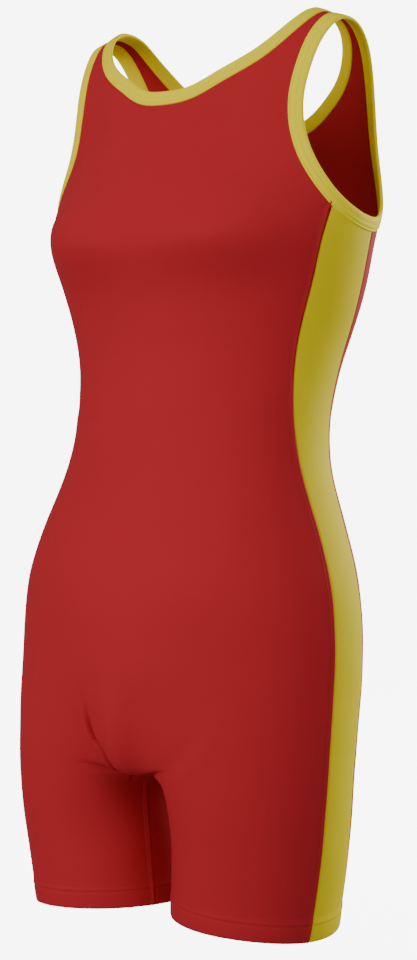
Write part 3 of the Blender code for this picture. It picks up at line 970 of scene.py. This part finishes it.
def build_red_stitches(singlet):
    over = singlet.stand_off + 0.0003
    lines = []
    for half in (1, -1):
        seams = side["front_seam"](HEM_LEVEL), side["back_seam"](HEM_LEVEL)
        lines += hem_lines(0.004, seams[0] - 0.004, half, over)
        lines += hem_lines(seams[1] + 0.004, 0.996, half, over)
        lines.append(seam_line("front_seam", -0.0052, half, over + 0.0001, -0.178))
        lines.append(inseam_line(0.0050, half, over))
    return stitches("red_thread", lines, thread_material("red_polyester_thread", "#A5242B"), singlet)


def build_yellow_stitches(singlet):
    over = singlet.stand_off + 0.0003
    lines = []
    for half in (1, -1):
        seams = side["front_seam"](HEM_LEVEL), side["back_seam"](HEM_LEVEL)
        lines += hem_lines(seams[0] + 0.004, seams[1] - 0.004, half, over)
    return stitches("yellow_thread", lines, thread_material("yellow_polyester_thread", "#CDBD33"), singlet)


def build_binding_stitches(singlet):
    lines = []
    for half in (1, -1):
        for edge in (neck_front, neck_back, armhole):
            for inward, height in ((0.845, 0.0021), (0.49, 0.0026)):
                lines.append(binding_lines(edge, inward, height, half))
    thread = thread_material("bright_yellow_polyester_thread", "#E9D932")
    return stitches("binding_thread", lines, thread, singlet)


# ---------------------------------------------------------------- stage
PAPER_WALL = 7.0
PAPER_COVE = 1.5
PAPER_TOP = 8.0
# Lights point at the middle of the body.
LIGHTS_AIM = (0.0, 0.0, -0.42)


def build_paper(stage):
    """A pale floor that curves up into a wall all round, so each side is seen on the same ground."""
    profile = [(0.0, 0.0)]
    for step in range(13):
        angle = math.pi / 2 * step / 12
        inward, up = PAPER_COVE * (1 - math.sin(angle)), PAPER_COVE * (1 - math.cos(angle))
        profile.append((PAPER_WALL - inward, up))
    profile.append((PAPER_WALL, PAPER_TOP))
    form = bmesh.new()
    line = [form.verts.new((away, 0, up + stage.floor_level)) for away, up in profile]
    edges = [form.edges.new(pair) for pair in zip(line, line[1:])]
    bmesh.ops.spin(form, geom=line + edges, axis=(0, 0, 1), angle=2 * math.pi, steps=96)
    bmesh.ops.remove_doubles(form, verts=form.verts[:], dist=1e-4)
    for face in form.faces:
        face.smooth = True
    mesh = bpy.data.meshes.new("paper_surround")
    form.to_mesh(mesh)
    form.free()
    paper = bpy.data.materials.new("white_backdrop_paper")
    paper.use_nodes = True
    shader = paper.node_tree.nodes["Principled BSDF"]
    shader.inputs["Base Color"].default_value = (0.93, 0.93, 0.93, 1)
    shader.inputs["Roughness"].default_value = 0.9
    shader.inputs["Emission Color"].default_value = (1, 1, 1, 1)
    shader.inputs["Emission Strength"].default_value = stage.paper_glow
    mesh.materials.append(paper)
    surround = bpy.data.objects.new("paper_surround", mesh)
    surround.visible_diffuse = False
    surround.visible_glossy = False
    bpy.context.scene.collection.objects.link(surround)


def build_stage(stage):
    """The paper, soft lights and the camera."""
    turn = math.radians(stage.azimuth)
    build_paper(stage)

    world = bpy.context.scene.world or bpy.data.worlds.new("studio")
    bpy.context.scene.world = world
    world.use_nodes = True
    world.node_tree.nodes["Background"].inputs["Color"].default_value = (1, 1, 1, 1)
    world.node_tree.nodes["Background"].inputs["Strength"].default_value = stage.fill
    for name, azimuth, height, away, size, power in (
        ("key", stage.azimuth + stage.key_side, -0.1, 2.6, 1.6, stage.key_power),
        ("soft", stage.azimuth + stage.soft_side, 1.25, 2.0, 1.6, stage.soft_power),
        ("rim", stage.azimuth + stage.rim_side, 0.1, 2.6, 1.2, stage.rim_power),
    ):
        data = bpy.data.lights.new(name, "AREA")
        data.shape = "DISK"
        data.size = size
        data.energy = power
        light = bpy.data.objects.new(name, data)
        angle = math.radians(azimuth)
        light.location = (away * math.sin(angle), -away * math.cos(angle), height)
        aim = np.array(LIGHTS_AIM) - np.array(light.location)
        flat = math.hypot(aim[0], aim[1])
        light.rotation_euler = (math.pi / 2 + math.atan2(aim[2], flat), 0, math.atan2(-aim[0], aim[1]))
        bpy.context.scene.collection.objects.link(light)

    data = bpy.data.cameras.new("camera")
    data.sensor_width = 36.0
    data.lens = stage.lens
    data.shift_y = stage.shift
    camera = bpy.data.objects.new("camera", data)
    camera.location = (stage.distance * math.sin(turn), -stage.distance * math.cos(turn), stage.eye_level)
    camera.rotation_euler = (math.pi / 2, 0, turn)
    bpy.context.scene.collection.objects.link(camera)
    bpy.context.scene.camera = camera


# ---------------------------------------------------------------- add-on
class SingletSettings(bpy.types.PropertyGroup):
    """Sizes and finish of the singlet's knit."""

    rows_per_metre: IntProperty(
        name="Rows per metre", description="Fineness of the mesh", default=240, min=80
    )
    columns: IntProperty(name="Columns", description="Columns in half a panel", default=48, min=20)
    cloth: FloatProperty(name="Cloth", description="Thickness of the knit", default=0.0009, unit="LENGTH")
    stand_off: FloatProperty(
        name="Stand-off", description="Outer face over the worn form", default=0.0013, unit="LENGTH"
    )
    tuck: FloatProperty(
        name="Tuck", description="How far the panels reach into a binding", default=0.003, unit="LENGTH"
    )
    crease_strength: FloatProperty(name="Creases", description="Strength of the creases", default=1.0)
    stitch_pitch: FloatProperty(
        name="Stitch pitch", description="From one stitch to the next", default=0.0028, unit="LENGTH"
    )
    thread: FloatProperty(
        name="Thread", description="Thickness of the thread", default=0.00045, unit="LENGTH"
    )


class StageSettings(bpy.types.PropertyGroup):
    """The studio round the singlet."""

    azimuth: FloatProperty(name="Azimuth", description="Camera's turn to the wearer's left", default=36.0)
    distance: FloatProperty(name="Distance", description="Camera to body", default=1.85, unit="LENGTH")
    eye_level: FloatProperty(name="Eye level", description="Camera height", default=-0.3468, unit="LENGTH")
    lens: FloatProperty(name="Lens", description="Focal length in millimetres", default=76.2)
    shift: FloatProperty(name="Shift", description="Vertical lens shift", default=-0.078)
    floor_level: FloatProperty(name="Floor", description="The paper's height", default=-0.88, unit="LENGTH")
    fill: FloatProperty(name="Fill", description="Strength of the light all round", default=0.34)
    key_side: FloatProperty(name="Key side", description="Key light's turn from the camera", default=-54.0)
    key_power: FloatProperty(name="Key power", description="Key light in watts", default=34.0)
    soft_side: FloatProperty(name="Soft side", description="High light's turn", default=14.0)
    soft_power: FloatProperty(name="Soft power", description="High light in watts", default=20.0)
    rim_side: FloatProperty(name="Rim side", description="Rear light's turn from the camera", default=126.0)
    rim_power: FloatProperty(name="Rim power", description="Rear light in watts", default=66.0)
    paper_glow: FloatProperty(name="Paper glow", description="The paper's own brightness", default=7.0)


class SINGLET_OT_front_panel(bpy.types.Operator):
    """Builds the front panel with both leg fronts"""

    bl_idname = "singlet.front_panel"
    bl_label = "Front Panel"

    def execute(self, context):
        declare(build_front(context.scene.singlet), "front_panel")
        return {"FINISHED"}


class SINGLET_OT_back_panel(bpy.types.Operator):
    """Builds the back panel with both leg backs"""

    bl_idname = "singlet.back_panel"
    bl_label = "Back Panel"

    def execute(self, context):
        declare(build_back(context.scene.singlet), "back_panel")
        return {"FINISHED"}


class SINGLET_OT_side_panels(bpy.types.Operator):
    """Builds both contrast side panels"""

    bl_idname = "singlet.side_panels"
    bl_label = "Side Panels"

    def execute(self, context):
        for half, node in ((1, "side_panel_left"), (-1, "side_panel_right")):
            declare(build_side(context.scene.singlet, half), node)
        return {"FINISHED"}


class SINGLET_OT_bindings(bpy.types.Operator):
    """Builds the neck binding and both armhole bindings"""

    bl_idname = "singlet.bindings"
    bl_label = "Bindings"

    def execute(self, context):
        singlet = context.scene.singlet
        declare(build_neck(singlet), "neck_binding")
        for half, node in ((1, "armhole_binding_left"), (-1, "armhole_binding_right")):
            declare(build_armhole(singlet, half), node)
        return {"FINISHED"}


class SINGLET_OT_stitches(bpy.types.Operator):
    """Lays the thread along hems, seams and bindings"""

    bl_idname = "singlet.stitches"
    bl_label = "Stitches"

    def execute(self, context):
        singlet = context.scene.singlet
        for thing, slot in (
            (build_red_stitches(singlet), "red_knit"),
            (build_yellow_stitches(singlet), "yellow_knit"),
            (build_binding_stitches(singlet), "binding_knit"),
        ):
            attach(thing, "root")
        return {"FINISHED"}


class SINGLET_OT_stage(bpy.types.Operator):
    """Sets the paper, the lights and the camera"""

    bl_idname = "singlet.stage"
    bl_label = "Stage"

    def execute(self, context):
        build_stage(context.scene.singlet_stage)
        return {"FINISHED"}


class SINGLET_PT_sidebar(bpy.types.Panel):
    """The singlet's sizes, and a button for each group of pieces."""

    bl_idname = "SINGLET_PT_sidebar"
    bl_label = "Singlet"
    bl_space_type = "VIEW_3D"
    bl_region_type = "UI"
    bl_category = "Singlet"

    def draw(self, context):
        for group in (context.scene.singlet, context.scene.singlet_stage):
            for name in group.bl_rna.properties.keys():
                if name not in ("rna_type", "name"):
                    self.layout.prop(group, name)
        for operator in OPERATORS:
            self.layout.operator(operator.bl_idname)


OPERATORS = (
    SINGLET_OT_front_panel,
    SINGLET_OT_back_panel,
    SINGLET_OT_side_panels,
    SINGLET_OT_bindings,
    SINGLET_OT_stitches,
    SINGLET_OT_stage,
)
CLASSES = (SingletSettings, StageSettings, *OPERATORS, SINGLET_PT_sidebar)


def register():
    for kind in CLASSES:
        bpy.utils.register_class(kind)
    bpy.types.Scene.singlet = PointerProperty(type=SingletSettings)
    bpy.types.Scene.singlet_stage = PointerProperty(type=StageSettings)


def unregister():
    del bpy.types.Scene.singlet_stage
    del bpy.types.Scene.singlet
    for kind in reversed(CLASSES):
        bpy.utils.unregister_class(kind)


def main():
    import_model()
    register()
    bpy.ops.singlet.front_panel()
    bpy.ops.singlet.back_panel()
    bpy.ops.singlet.side_panels()
    bpy.ops.singlet.bindings()
    bpy.ops.singlet.stitches()
    bpy.ops.singlet.stage()


if __name__ == "__main__":
    main()
